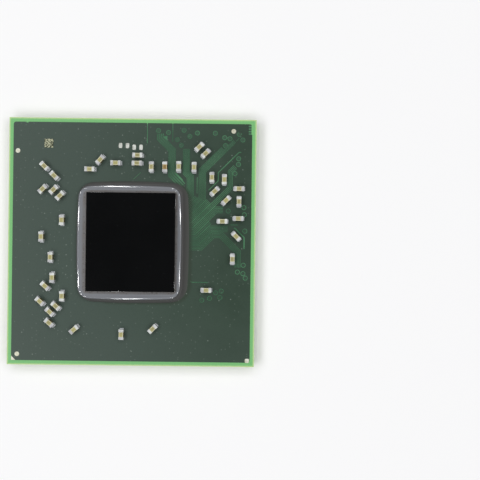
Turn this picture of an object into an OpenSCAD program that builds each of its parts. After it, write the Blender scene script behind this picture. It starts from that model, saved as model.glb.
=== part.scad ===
// Flip-chip ball grid array package: a bare die on a laminate substrate,
// with decoupling capacitors round it and solder balls underneath.
// Lengths are in millimetres. The origin is under the middle of the package,
// at the height of the balls' lowest points, and the die faces up.

/* [Substrate] */
// Side of the square substrate
package_size = 25; // [24.8:0.1:30]
// Thickness of the whole substrate with its two outer copper layers
substrate_thickness = 0.9; // [0.5:0.05:1.6]
// Thickness of each outer copper layer with its solder mask
copper_thickness = 0.03; // [0.02:0.005:0.06]
// Bare laminate left round the upper copper plane
top_rim = 0.45; // [0.2:0.05:0.6]
// Bare laminate left round the lower copper plane
bottom_rim = 0.33; // [0.15:0.01:0.36]
// Corner radius of both copper planes
plane_corner_radius = 0.25; // [0.05:0.05:0.6]

/* [Die] */
// Die size along X
die_length = 8.9; // [7:0.1:10]
// Die size along Y
die_width = 9.9; // [8:0.1:10.8]
// Die thickness
die_thickness = 0.75; // [0.3:0.05:1]
// Gap that the bumps hold open under the die
bump_gap = 0.07; // [0.04:0.01:0.12]
// Diameter of one bump
bump_diameter = 0.12; // [0.08:0.01:0.2]
// Distance between neighbouring bumps
bump_pitch = 0.75; // [0.5:0.05:1.5]

/* [Underfill] */
// Height of the resin bead beside the die
bead_height = 0.62; // [0.3:0.02:0.74]
// Width over which the bead's outer edge rolls over
bead_roll = 0.7; // [0.3:0.05:0.9]
// Bead beyond the die on the left, right, front and back
bead_reach = [0.93, 0.85, 0.86, 0.76];
// Thin toe of resin beyond the die on the left, right, front and back
toe_reach = [1, 1.42, 1.14, 1.14];
// Corner radius of the bead's outline
bead_corner_radius = 1.35; // [0.9:0.05:2]
// Corner radius of the toe's outline
toe_corner_radius = 1.7; // [1:0.05:2.5]
// Thickness of the toe
toe_thickness = 0.05; // [0.02:0.01:0.1]

/* [Capacitors] */
// Length of one capacitor over its terminals
cap_length = 1; // [0.8:0.02:1.1]
// Width of one capacitor over its terminals
cap_width = 0.5; // [0.3:0.02:0.56]
// Height of one capacitor over its terminals
cap_height = 0.5; // [0.2:0.02:0.6]
// Length of each terminal
terminal_length = 0.25; // [0.15:0.01:0.3]
// Thickness of the terminals' plating round the ceramic
terminal_plating = 0.025; // [0.01:0.005:0.04]
// Rounding of the capacitors' long edges
cap_edge_radius = 0.05; // [0.03:0.005:0.08]
// How far the solder runs out past a terminal
solder_run = 0.1; // [0.05:0.01:0.14]
// How far the solder climbs a terminal
solder_climb = 0.24; // [0.1:0.02:0.3]

/* [Traces and marks] */
// Diameter of the copper land round a via
via_land = 0.36; // [0.2:0.02:0.4]
// Width of the bare ring round a via land
via_gap = 0.07; // [0.04:0.01:0.1]
// Height of a bare pad or mark above the solder mask
pad_height = 0.03; // [0.01:0.01:0.06]
// Length and width of an unused capacitor pad
spare_pad = [0.35, 0.52];
// Diameter of a round alignment mark
fiducial_diameter = 0.46; // [0.3:0.02:0.6]
// Side of the square identity mark
code_mark_size = 0.88; // [0.6:0.02:1]
// Short sides of the corner triangles that mark the first contact
corner_mark_size = 0.42; // [0.3:0.02:0.5]

/* [Solder balls] */
// Diameter of a solder ball
ball_diameter = 0.44; // [0.38:0.01:0.5]
// Height that the balls hold the substrate above the board
ball_standoff = 0.35; // [0.26:0.01:0.37]
// Distance from the package's edge to the outermost balls
ball_edge_inset = 0.53; // [0.4:0.01:0.6]
// Distance between the staggered lines along each edge
edge_line_pitch = 0.36; // [0.34:0.01:0.38]
// Distance between balls along one staggered line
edge_ball_pitch = 1.39; // [1.3:0.01:1.5]
// Distance between neighbouring balls of the square fields
ball_pitch = 0.69; // [0.64:0.01:0.72]
// Distance between balls along the side bands
band_pitch = 1.04; // [0.96:0.01:1.2]
// Clearance between the centre lines of the core field and the bands
core_gap = 0.665; // [0.6:0.005:0.9]
// Balls along each side of the core field
core_count = 15; // [5:1:16]

/* [Hidden] */
$fn = 48;
half = package_size / 2;
z_bottom = ball_standoff;
z_core = z_bottom + copper_thickness;
z_top = z_bottom + substrate_thickness;
z_die = z_top + bump_gap;
core_thickness = substrate_thickness - 2 * copper_thickness;
die_half = [die_length / 2, die_width / 2];
top_edge = half - top_rim;
cut = 0.05;

// The layout below is drawn for a package and a die of these half sizes. place() keeps
// it between the die and the package's edges when either of them changes, and spread
// widens the traces and slits with it.
drawn_half = 12.5;
drawn_die_half = [4.45, 4.95];
function stretched(v, near, far, drawn_near, drawn_far) =
    abs(v) <= drawn_near ? v * near / drawn_near
    : sign(v) * (near + (abs(v) - drawn_near) * (far - near) / (drawn_far - drawn_near));
function place(p) = [
    for (axis = [0, 1]) stretched(p[axis], die_half[axis], half, drawn_die_half[axis], drawn_half)
];
function placed(points) = [for (p = points) place(p)];
spread = max([
    for (axis = [0, 1]) (half - die_half[axis]) / (drawn_half - drawn_die_half[axis])
]);

// The capacitors: middle and turn of each
CAPACITORS = [
    [-8.8, 7.55, -45], [-7.8, 6.6, -45], [-8.95, 5.25, 45], [-7.85, 5.2, 45],
    [-7.2, 4.6, 45], [-7, 2.15, 90], [-9.05, 0.45, 90], [-8.1, -1.6, 90],
    [-7.9, -3.65, 90], [-8.6, -4.5, -42], [-6.9, -5.5, 90], [-9.1, -6.05, -42],
    [-7.5, -6.5, -42], [-8.1, -7.1, -42], [-8.15, -8.2, -42], [-5.65, -8.85, 42],
    [-0.9, -9.3, 90], [2.25, -8.7, 45], [-4.25, 7.3, 0], [-3.2, 8.25, 50],
    [-1.65, 7.95, 0], [0.55, 8.75, 0], [0.5, 7.95, 0], [1.95, 7.6, 90],
    [3.3, 7.6, 90], [4.7, 7.65, 90], [6.25, 7.6, 90], [6.75, 9.65, 45],
    [7.4, 9, 45], [8.05, 6.6, 90], [9.3, 6.4, 90], [8.35, 5.2, 45],
    [9.5, 4.3, 45], [10.8, 5.5, 0], [10.8, 4.2, 90], [9.15, 2.2, 0],
    [10.75, 2.5, 0], [10.55, 0.7, -45], [10.2, -1.6, 90], [7.6, -4.75, 0]
];

// Bundles of signal traces: route of the middle, number of traces, trace width, gap
BUNDLES = [
    [[[2.78, 11], [2.78, 10.54], [3.98, 9.34], [3.98, 6.86], [5.1, 5.74]], 3, 0.13, 0.08],
    [[[5.44, 9.5], [5.44, 7.1], [5.85, 6.69], [5.85, 4.7], [5.12, 3.97], [5, 3.97]],
        5, 0.075, 0.055],
    [[[6.5, 4.65], [5.33, 3.48], [5, 3.48]], 2, 0.08, 0.055],
    [[[9.1, 9.58], [6.9, 7.38], [6.9, 4.57], [5.47, 3.14], [5, 3.14]], 3, 0.07, 0.045],
    [[[10.3, 10.3], [7.24, 7.24], [7.24, 4.39], [5.62, 2.77], [5, 2.77]], 3, 0.07, 0.045],
    [[[7.75, 4.21], [5.83, 2.29], [5, 2.29]], 4, 0.08, 0.06],
    [[[10.4, 7.72], [9.88, 7.2], [9.88, 5.58], [6.05, 1.75], [5, 1.75]], 3, 0.085, 0.06],
    [[[9.2, 3.36], [8.45, 3.36], [6.28, 1.19], [5, 1.19]], 4, 0.09, 0.06],
    [[[7.9, 2.09], [6.49, 0.68], [5, 0.68]], 2, 0.11, 0.06],
    [[[9.7, 1.44], [7.95, 1.44], [6.69, 0.18], [5, 0.18]], 4, 0.09, 0.055],
    [[[10.7, -2.45], [10.7, -0.85], [9.02, 0.83], [8.21, 0.83], [6.95, -0.43],
        [5, -0.43]], 4, 0.09, 0.055]
];

// Single slits that part one area of the copper plane from the next: route, width
SLITS = [
    [[[1.46, 10], [1.46, 12.5]], 0.08],
    [[[4.03, 10.2], [4.03, 12.5]], 0.08],
    [[[10.98, 9.2], [10.75, 9.2], [8.67, 7.12], [8.67, 6.29], [7.71, 5.33]], 0.09],
    [[[6.55, 6.6], [6.55, 5]], 0.08],
    [[[5.9, -3.8], [6.12, -3.98], [7.75, -3.98]], 0.09],
    [[[10.3, 1.55], [10.45, 1.5], [11.36, 0.59], [11.36, -0.55]], 0.13],
    [[[9.95, 1.86], [10.7, 1.86]], 0.08],
    [[[10.75, 10.62], [10.42, 10.29]], 0.06],
    [[[0.11, 6.37], [0.85, 7.06]], 0.05]
];

// Vias whose lands show as rings in the copper plane
VIAS = [
    [2.58, 11.3], [3.6, 11.12], [5.17, 11.36], [5.76, 10.75], [4.5, 10.42],
    [6.52, 11.1], [4.9, 9.85], [8.33, 11.1], [9.28, 10.66], [9.36, 9.86],
    [9.82, 10.56], [10.78, 11], [11.12, 10.45], [10.72, 8.55], [10.7, 7.98],
    [10.36, 7.05], [9.72, 3.26], [11.3, 3.62], [11.35, 2.9], [11.42, 1.25],
    [11.3, -2.2], [10.72, -2.9], [11.28, -3.05], [11.52, -3.5], [7.15, -5.78],
    [7.93, -5.58], [8.54, -5.02], [9.11, -4.84], [8.98, -5.49]
];

// Clearings where the plane is left open, as outlines
CLEARINGS = [
    [[3.08, 10.38], [3.08, 10.72], [3.5, 10.8], [3.5, 10.1], [3.3, 10.16]],
    [[4.2, 7.05], [4.42, 7.05], [5.1, 6.37], [5.1, 5.95], [4.8, 6.1]]
];

// Notches in the rim of the copper plane, tied to its edge
EDGE_CLEARINGS = [
    [[1.72 - half, top_edge - 0.1], [1.95 - half, top_edge - 0.1],
        [1.95 - half, top_edge + cut], [1.72 - half, top_edge + cut]],
    [[top_edge - 0.36, top_edge - 1.05], [top_edge + cut, top_edge - 1.05],
        [top_edge + cut, top_edge - 0.05], [top_edge - 0.36, top_edge - 0.05]]
];

// Middles of the four unused capacitor pads
SPARE_PADS = [[-1.23, 9.75], [-0.53, 9.74], [0.15, 9.59], [0.84, 9.59]];

// Middles of the alignment marks, from the package's edges: three round, one square
FIDUCIALS = [
    [-half + 0.92, half - 3.38], [half - 2.31, half - 1.19], [-half + 1.04, -half + 1.08]
];
SQUARE_FIDUCIAL = [half - 0.72, -half + 0.64];
CODE_MARK = [-half + 4.03, half - 2.6];

// Ball lines, from the edge inwards, as distances from the package's middle
edge_lines = [for (i = [0:4]) half - ball_edge_inset - i * edge_line_pitch];
single_line = edge_lines[4] - ball_pitch;
band_lines = [for (i = [1:5]) single_line - i * ball_pitch];
block_lines = [for (i = [0:3]) band_lines[i]];
core_first = -band_lines[3] + core_gap;
core_last = band_lines[4] - core_gap;
core_pitch = (core_last - core_first) / (core_count - 1);
edge_steps = floor((edge_lines[4] - ball_pitch) / edge_ball_pitch);
single_steps = floor(single_line / ball_pitch) - 1;
band_steps = floor((band_lines[3] - ball_pitch) / band_pitch);

function two_digits(i) = str(i < 10 ? "0" : "", i);
function capacitor_name(i) = str("capacitor_", two_digits(i + 1));
CAPACITOR_NODES = [for (i = [0:len(CAPACITORS) - 1]) capacitor_name(i)];

// Geometry of parallel routes

function unit(v) = v / norm(v);
function left_of(v) = [-v[1], v[0]];
function heading(path, i) = unit(path[i + 1] - path[i]);
function side_at(path, i) =
    i == 0 ? left_of(heading(path, 0))
    : i == len(path) - 1 ? left_of(heading(path, i - 1))
    : mitre(left_of(heading(path, i - 1)), left_of(heading(path, i)));
function mitre(a, b) = (a + b) / (1 + a * b);
function shifted(path, d) = [for (i = [0:len(path) - 1]) path[i] + d * side_at(path, i)];
function reversed(path) = [for (i = [len(path) - 1:-1:0]) path[i]];
function ribbon(path, from, to) = concat(shifted(path, from), reversed(shifted(path, to)));
function bundle_width(b) = spread * (b[1] * b[2] + (b[1] + 1) * b[3]);
function trace_start(b, k) = spread * (b[3] + k * (b[2] + b[3])) - bundle_width(b) / 2;

module rounded_square(size, r) {
    square([size[0] - 2 * r, size[1]], center = true);
    square([size[0], size[1] - 2 * r], center = true);
    for (x = [-1, 1], y = [-1, 1])
        translate([x * (size[0] / 2 - r), y * (size[1] / 2 - r)])
            circle(r);
}

module plate(size, r, z, h) {
    translate([0, 0, z])
        linear_extrude(h)
            rounded_square(size, r);
}

// Substrate

module laminate() {
    color("yellowgreen")
        translate([-half, -half, z_core])
            cube([package_size, package_size, core_thickness]);
}

module top_layer_prism(points, h = copper_thickness + 2 * cut) {
    translate([0, 0, z_top - copper_thickness - (h > copper_thickness ? cut : 0)])
        linear_extrude(h)
            polygon(points);
}

module top_copper() {
    side = 2 * top_edge;
    color("darkslategray")
        difference() {
            plate([side, side], plane_corner_radius, z_top - copper_thickness, copper_thickness);
            for (b = BUNDLES)
                top_layer_prism(ribbon(placed(b[0]), -bundle_width(b) / 2, bundle_width(b) / 2));
            for (s = SLITS)
                top_layer_prism(ribbon(placed(s[0]), -spread * s[1] / 2, spread * s[1] / 2));
            for (c = CLEARINGS)
                top_layer_prism(placed(c));
            for (c = EDGE_CLEARINGS)
                top_layer_prism(c);
            for (v = placed(VIAS))
                translate([v[0], v[1], z_top - copper_thickness - cut])
                    cylinder(d = via_land + 2 * via_gap, h = copper_thickness + 2 * cut);
        }
}

module signal_traces() {
    color("seagreen") {
        for (b = BUNDLES)
            for (k = [0:b[1] - 1])
                top_layer_prism(
                    ribbon(placed(b[0]), trace_start(b, k), trace_start(b, k) + spread * b[2]),
                    copper_thickness);
        for (v = placed(VIAS))
            translate([v[0], v[1], z_top - copper_thickness])
                cylinder(d = via_land, h = copper_thickness);
    }
}

module bottom_copper() {
    side = package_size - 2 * bottom_rim;
    color("darkolivegreen")
        plate([side, side], plane_corner_radius, z_bottom, copper_thickness);
}

// Die, bumps and underfill

module silicon_die() {
    color([0.04, 0.05, 0.06])
        translate([-die_half[0], -die_half[1], z_die])
            cube([die_length, die_width, die_thickness]);
}

module at_bumps() {
    nx = floor((die_length - bump_pitch) / bump_pitch);
    ny = floor((die_width - bump_pitch) / bump_pitch);
    for (i = [0:nx], j = [0:ny])
        translate([(i - nx / 2) * bump_pitch, (j - ny / 2) * bump_pitch, z_top])
            children();
}

module die_bumps() {
    color("silver")
        at_bumps()
            cylinder(d = bump_diameter, h = bump_gap);
}

// Quarter superellipse that rolls from a flat top down to the outline
function roll_over(radius, width, height, steps = 10, power = 2.3) = [
    for (i = [0:steps])
        let (a = 90 * i / steps)
            [radius - width + width * pow(cos(a), 2 / power), height * pow(sin(a), 2 / power)]
];

function boss_profile(radius) =
    concat([[0, 0]], roll_over(radius, bead_roll, bead_height), [[0, bead_height]]);

// A low boss with rolled edges: extents are [left, right, front, back] from the middle
module rolled_boss(extent, radius) {
    x0 = -extent[0] + radius;
    x1 = extent[1] - radius;
    y0 = -extent[2] + radius;
    y1 = extent[3] - radius;
    corners = [[x1, y1, 0], [x0, y1, 90], [x0, y0, 180], [x1, y0, 270]];
    for (c = corners)
        translate([c[0], c[1], 0])
            rotate([0, 0, c[2]])
                rotate_extrude(angle = 90)
                    polygon(boss_profile(radius));
    for (c = corners)
        translate([c[0], c[1], 0])
            rotate([90, 0, c[2]])
                linear_extrude(c[2] % 180 == 0 ? y1 - y0 : x1 - x0)
                    polygon(boss_profile(radius));
    translate([x0, y0, 0])
        cube([x1 - x0, y1 - y0, bead_height]);
}

module toe(extent, radius) {
    size = [extent[0] + extent[1], extent[2] + extent[3]];
    middle = [(extent[1] - extent[0]) / 2, (extent[3] - extent[2]) / 2, 0];
    translate(middle)
        plate(size, radius, 0, toe_thickness);
}

function around_die(reach) = [
    die_half[0] + reach[0], die_half[0] + reach[1],
    die_half[1] + reach[2], die_half[1] + reach[3]
];

module underfill() {
    color("lightsteelblue")
        difference() {
            translate([0, 0, z_top]) {
                rolled_boss(around_die(bead_reach), bead_corner_radius);
                toe(around_die(toe_reach), toe_corner_radius);
            }
            translate([-die_half[0], -die_half[1], z_die])
                cube([die_length, die_width, die_thickness]);
            at_bumps()
                translate([0, 0, -cut])
                    cylinder(d = bump_diameter, h = bump_gap + 2 * cut);
        }
}

// Capacitors

module at_capacitor(c) {
    middle = place([c[0], c[1]]);
    translate([middle[0], middle[1], z_top])
        rotate([0, 0, c[2]])
            children();
}

// A bar along X, centred, standing on z = 0, with its long edges rounded
module bar(length, width, height, r, x = 0) {
    translate([x - length / 2, 0, height / 2])
        rotate([90, 0, 90])
            linear_extrude(length)
                rounded_square([width, height], r);
}

module ceramic_body() {
    translate([0, 0, terminal_plating])
        bar(cap_length - 2 * terminal_plating, cap_width - 2 * terminal_plating,
            cap_height - 2 * terminal_plating, cap_edge_radius - terminal_plating / 2);
}

module capacitor(c) {
    color("khaki")
        at_capacitor(c)
            ceramic_body();
}

module terminal(side) {
    difference() {
        bar(terminal_length, cap_width, cap_height, cap_edge_radius,
            side * (cap_length - terminal_length) / 2);
        ceramic_body();
    }
}

module capacitor_terminals() {
    color("gainsboro")
        for (c = CAPACITORS, side = [-1, 1])
            at_capacitor(c)
                terminal(side);
}

// The fillet's section: it stands against the terminal and sags towards its toe
solder_section = [
    [0, 0], [solder_run, 0], [0.4 * solder_run, 0.3 * solder_climb], [0, solder_climb]
];

module capacitor_solder() {
    seam = cap_width - 2 * cap_edge_radius;
    color("silver")
        for (c = CAPACITORS, side = [0, 180])
            at_capacitor(c)
                rotate([0, 0, side])
                    translate([cap_length / 2, seam / 2, 0])
                        rotate([90, 0, 0])
                            linear_extrude(seam)
                                polygon(solder_section);
}

// Bare pads and marks

module spare_pads() {
    color("gainsboro")
        for (p = placed(SPARE_PADS))
            translate([p[0], p[1], 0])
                plate(spare_pad, 0.1, z_top, pad_height);
}

module fiducial_pads() {
    color("gold") {
        for (f = FIDUCIALS)
            translate([f[0], f[1], z_top])
                cylinder(d = fiducial_diameter, h = pad_height);
        translate([SQUARE_FIDUCIAL[0], SQUARE_FIDUCIAL[1], 0])
            plate([fiducial_diameter - 0.04, fiducial_diameter - 0.04], 0.12, z_top, pad_height);
    }
}

module corner_triangle(inset, z, h) {
    corner = -half + inset;
    translate([corner, corner, z])
        linear_extrude(h)
            polygon([[0, 0], [corner_mark_size, 0], [0, corner_mark_size]]);
}

module corner_marks() {
    color("gold") {
        corner_triangle(top_rim + 0.02, z_top, pad_height);
        corner_triangle(bottom_rim + 0.02, z_bottom - pad_height, pad_height);
    }
}

module code_mark() {
    color("tan")
        translate([CODE_MARK[0], CODE_MARK[1], 0])
            plate([code_mark_size, code_mark_size], 0.04, z_top, pad_height);
}

// Solder balls

module solder_ball(x, y) {
    r = ball_diameter / 2;
    translate([x, y, r])
        difference() {
            sphere(r);
            translate([-r, -r, ball_standoff - r])
                cube(2 * r);
        }
}

module on_each_side() {
    for (turn = [0:90:270])
        rotate([0, 0, turn])
            children();
}

// The first contact's corner, at left front, has no outermost ball
module solder_balls_corner() {
    group = [edge_lines[0], edge_lines[2], edge_lines[4]];
    color("silver")
        for (x = group, y = group, sx = [-1, 1], sy = [-1, 1])
            if (x + y < 2 * group[0] || sx + sy > -2)
                solder_ball(sx * x, sy * y);
}

module solder_balls_edge() {
    color("silver")
        on_each_side()
            for (line = [0:4]) {
                stagger = line % 2 == 0 ? 0 : 0.5;
                for (k = [-edge_steps:edge_steps - 2 * stagger])
                    solder_ball(edge_lines[line], (k + stagger) * edge_ball_pitch);
            }
}

module solder_balls_line() {
    color("silver")
        on_each_side() {
            solder_ball(single_line, 0);
            for (k = [0:single_steps])
                solder_ball(single_line, single_line - k * ball_pitch);
            for (k = [1:single_steps])
                solder_ball(single_line, k * ball_pitch - single_line);
        }
}

// Two of the bands are one line deeper, and share one ball where they meet
module solder_balls_band() {
    color("silver") {
        on_each_side()
            for (x = block_lines, k = [-band_steps:band_steps])
                solder_ball(x, k * band_pitch);
        for (k = [-band_steps:band_steps - 1]) {
            solder_ball(band_lines[4], k * band_pitch);
            solder_ball(k * band_pitch, band_lines[4]);
        }
        solder_ball(band_lines[4], band_lines[4]);
    }
}

module solder_balls_block() {
    color("silver")
        for (x = block_lines, y = block_lines, sx = [-1, 1], sy = [-1, 1])
            solder_ball(sx * x, sy * y);
}

module solder_balls_core() {
    color("silver")
        for (i = [0:core_count - 1], j = [0:core_count - 1])
            solder_ball(core_first + i * core_pitch, core_first + j * core_pitch);
}

laminate();
top_copper();
signal_traces();
bottom_copper();
silicon_die();
underfill();
die_bumps();
capacitor_terminals();
capacitor_solder();
spare_pads();
fiducial_pads();
corner_marks();
code_mark();
solder_balls_corner();
solder_balls_edge();
solder_balls_line();
solder_balls_band();
solder_balls_block();
solder_balls_core();
for (i = [0:len(CAPACITORS) - 1])
    capacitor(CAPACITORS[i]);
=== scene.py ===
"""Looks, light and camera for a flip-chip ball grid array package.

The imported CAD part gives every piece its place. This script finishes the pieces: masks,
metals, ceramic and resin as node materials, a resin bead that is smoother than its CAD
solid, and a regular mesh for each solder ball. All lengths are in metres.
"""

from __future__ import annotations

import logging
import math
from collections.abc import Sequence
from dataclasses import dataclass
from enum import Enum

import bpy
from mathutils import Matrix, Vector

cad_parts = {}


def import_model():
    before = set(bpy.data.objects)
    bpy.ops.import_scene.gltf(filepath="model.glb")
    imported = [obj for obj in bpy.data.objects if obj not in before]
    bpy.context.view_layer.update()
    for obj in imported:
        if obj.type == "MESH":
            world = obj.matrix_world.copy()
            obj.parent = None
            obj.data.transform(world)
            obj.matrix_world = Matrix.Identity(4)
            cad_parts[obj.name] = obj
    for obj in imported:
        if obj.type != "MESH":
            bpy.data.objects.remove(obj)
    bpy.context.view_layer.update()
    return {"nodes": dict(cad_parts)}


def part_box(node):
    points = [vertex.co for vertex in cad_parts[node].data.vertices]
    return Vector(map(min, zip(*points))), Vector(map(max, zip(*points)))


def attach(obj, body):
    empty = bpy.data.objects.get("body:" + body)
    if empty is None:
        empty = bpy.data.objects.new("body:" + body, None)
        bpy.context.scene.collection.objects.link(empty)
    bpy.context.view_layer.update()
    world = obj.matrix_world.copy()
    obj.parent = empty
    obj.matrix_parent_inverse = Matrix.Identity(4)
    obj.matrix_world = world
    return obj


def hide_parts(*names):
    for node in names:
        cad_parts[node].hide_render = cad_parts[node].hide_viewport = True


LOG = logging.getLogger("package")
MM = 0.001
BODY = "root"

# Most of a noise texture's values lie between these two.
NOISE = (0.3, 0.7)

# How many finer layers the noise of the patches and of the grain has.
PATCH_DETAIL = 3
GRAIN_DETAIL = 2

# How far the outline of the resin film and its painted shade wavers, and how often per metre.
HALO_WAVE = 0.2 * MM
HALO_WAVE_SCALE = 700.0

Colour = tuple[float, float, float]
Point = tuple[float, float, float]
Span = tuple[float, float]
Socket = bpy.types.NodeSocket


def srgb(red: int, green: int, blue: int) -> Colour:
    """Turns a display colour into the linear one that shaders work with.

    Args:
        red: Red from 0 to 255.
        green: Green from 0 to 255.
        blue: Blue from 0 to 255.

    Returns:
        The linear colour, each channel from 0 to 1.
    """

    def linear(value: int) -> float:
        """Turns one channel."""
        share = value / 255
        return share / 12.92 if share <= 0.04045 else ((share + 0.055) / 1.055) ** 2.4

    return linear(red), linear(green), linear(blue)


# Shader graph helpers


class Graph:
    """A node tree with short ways to add and link nodes."""

    def __init__(self, tree: bpy.types.NodeTree) -> None:
        """Takes the tree that the nodes go into."""
        self.tree = tree

    def add(
        self, kind: str, inputs: dict[str | int, object] | None = None, **settings: object
    ) -> bpy.types.Node:
        """Adds a node and fills its sockets.

        Args:
            kind: The node's type name, such as ShaderNodeMath.
            inputs: Socket name or number to a value, or to the socket that feeds it.
            **settings: The node's own properties.

        Returns:
            The new node.
        """
        node = self.tree.nodes.new(kind)
        for name, value in settings.items():
            setattr(node, name, value)
        for name, value in (inputs or {}).items():
            if isinstance(value, Socket):
                self.tree.links.new(value, node.inputs[name])
            else:
                node.inputs[name].default_value = value
        return node

    def math(self, operation: str, *values: object, clamp: bool = False) -> Socket:
        """Adds a Math node and returns its result."""
        inputs = dict(enumerate(values))
        return self.add("ShaderNodeMath", inputs, operation=operation, use_clamp=clamp).outputs[0]

    def vector(self, operation: str, inputs: dict[str | int, object]) -> bpy.types.Node:
        """Adds a Vector Math node and returns it."""
        return self.add("ShaderNodeVectorMath", inputs, operation=operation)

    def spot(self) -> Socket:
        """Returns the place on the piece, in metres."""
        return self.add("ShaderNodeTexCoord").outputs["Object"]

    def ramp(
        self,
        value: object,
        low: float,
        high: float,
        start: float = 0.0,
        end: float = 1.0,
        kind: str = "SMOOTHSTEP",
    ) -> Socket:
        """Maps a value from one range to another, and holds it at the ends.

        Args:
            value: The value, or the socket that feeds it.
            low: The value that gives start.
            high: The value that gives end.
            start: The result at low.
            end: The result at high.
            kind: The Map Range node's interpolation.

        Returns:
            The result's socket.
        """
        node = self.add(
            "ShaderNodeMapRange",
            {"Value": value, "From Min": low, "From Max": high, "To Min": start, "To Max": end},
            interpolation_type=kind,
        )
        return node.outputs["Result"]

    def mix(self, share: object, first: object, second: object) -> Socket:
        """Mixes two colours.

        Args:
            share: How much of the second colour shows, from 0 to 1.
            first: The first colour, or the socket that feeds it.
            second: The second colour, or the socket that feeds it.

        Returns:
            The result's socket.
        """
        node = self.add("ShaderNodeMix", data_type="RGBA")
        sockets = [socket for socket in node.inputs if socket.enabled]
        for name, kind, value in (
            ("Factor", "VALUE", share),
            ("A", "RGBA", first),
            ("B", "RGBA", second),
        ):
            socket = next(s for s in sockets if s.name == name and s.type == kind)
            if isinstance(value, Socket):
                self.tree.links.new(value, socket)
            else:
                socket.default_value = value if kind == "VALUE" else (*value, 1)
        return next(s for s in node.outputs if s.type == "RGBA" and s.enabled)


def new_group(
    name: str, inputs: Sequence[tuple[str, str, object]], outputs: Sequence[tuple[str, str]]
) -> tuple[Graph, bpy.types.Node, bpy.types.Node]:
    """Makes an empty shader node group with its sockets.

    Args:
        name: The group's name.
        inputs: Name, kind (Float, Color or Vector) and default of each input.
        outputs: Name and kind of each output.

    Returns:
        The graph of the group, its input node and its output node.
    """
    tree = bpy.data.node_groups.new(name, "ShaderNodeTree")
    for label, kind, default in inputs:
        socket = tree.interface.new_socket(label, in_out="INPUT", socket_type=f"NodeSocket{kind}")
        socket.default_value = default
    for label, kind in outputs:
        tree.interface.new_socket(label, in_out="OUTPUT", socket_type=f"NodeSocket{kind}")
    graph = Graph(tree)
    return graph, graph.add("NodeGroupInput"), graph.add("NodeGroupOutput")


def speck_group() -> None:
    """Makes the group that scatters small round specks of dust or filler."""
    graph, given, result = new_group(
        "specks",
        [("Spacing", "Float", 1000.0), ("Radius", "Float", 0.1), ("Share", "Float", 0.3)],
        [("Mask", "Float")],
    )
    cells = graph.add(
        "ShaderNodeTexVoronoi",
        {"Vector": graph.spot(), "Scale": given.outputs["Spacing"]},
        voronoi_dimensions="2D",
    )
    chance = graph.add("ShaderNodeSeparateColor", {"Color": cells.outputs["Color"]}).outputs["Red"]
    kept = graph.math("LESS_THAN", chance, given.outputs["Share"])
    near = graph.math("DIVIDE", cells.outputs["Distance"], given.outputs["Radius"])
    dot = graph.math("SUBTRACT", 1.0, graph.math("POWER", near, 2.0), clamp=True)
    graph.tree.links.new(graph.math("MULTIPLY", dot, kept), result.inputs["Mask"])


def mottle_group() -> None:
    """Makes the group that varies a colour in soft patches and fine grain."""
    graph, given, result = new_group(
        "mottle",
        [
            ("Base", "Color", (0.5, 0.5, 0.5, 1)),
            ("Patch", "Color", (0.5, 0.5, 0.5, 1)),
            ("Patch Scale", "Float", 400.0),
            ("Grain Scale", "Float", 9000.0),
            ("Grain", "Float", 0.1),
        ],
        [("Colour", "Color"), ("Height", "Float")],
    )
    spot = graph.spot()
    patches, grain = (
        graph.add(
            "ShaderNodeTexNoise",
            {"Vector": spot, "Scale": given.outputs[scale], "Detail": detail},
        ).outputs["Fac"]
        for scale, detail in (("Patch Scale", PATCH_DETAIL), ("Grain Scale", GRAIN_DETAIL))
    )
    share = graph.ramp(patches, *NOISE)
    colour = graph.mix(share, given.outputs["Base"], given.outputs["Patch"])
    swing = graph.math("MULTIPLY", graph.math("SUBTRACT", grain, 0.5), given.outputs["Grain"])
    varied = graph.vector("SCALE", {0: colour, "Scale": graph.math("ADD", 1.0, swing)})
    graph.tree.links.new(varied.outputs[0], result.inputs["Colour"])
    graph.tree.links.new(grain, result.inputs["Height"])


def film_and_shade_group() -> None:
    """Makes the group that marks the thin resin film round the bead, with painted shade in it."""
    graph, given, result = new_group(
        "film_and_shade",
        [
            ("Middle", "Vector", (0.95 * MM, -0.1 * MM, 0.0)),
            ("Half", "Vector", (3.1 * MM, 4.1 * MM, 0.0)),
            ("Reach", "Float", 2.2 * MM),
            ("Fade", "Float", 0.3 * MM),
        ],
        [("Mask", "Float")],
    )
    spot = graph.spot()
    off = graph.vector("SUBTRACT", {0: spot, 1: given.outputs["Middle"]}).outputs[0]
    away = graph.vector("ABSOLUTE", {0: off}).outputs[0]
    past = graph.vector("SUBTRACT", {0: away, 1: given.outputs["Half"]}).outputs[0]
    x, y, _ = graph.add("ShaderNodeSeparateXYZ", {0: past}).outputs
    x_square = graph.math("POWER", graph.math("MAXIMUM", x, 0.0), 2.0)
    y_square = graph.math("POWER", graph.math("MAXIMUM", y, 0.0), 2.0)
    straight = graph.math("SQRT", graph.math("ADD", x_square, y_square))
    noise = graph.add("ShaderNodeTexNoise", {"Vector": spot, "Scale": HALO_WAVE_SCALE})
    wave = graph.math("MULTIPLY", noise.outputs["Fac"], HALO_WAVE)
    reach = graph.math("ADD", given.outputs["Reach"], HALO_WAVE / 2)
    left = graph.math("SUBTRACT", reach, graph.math("ADD", straight, wave))
    mask = graph.math("DIVIDE", left, given.outputs["Fade"], clamp=True)
    graph.tree.links.new(mask, result.inputs["Mask"])


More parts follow.
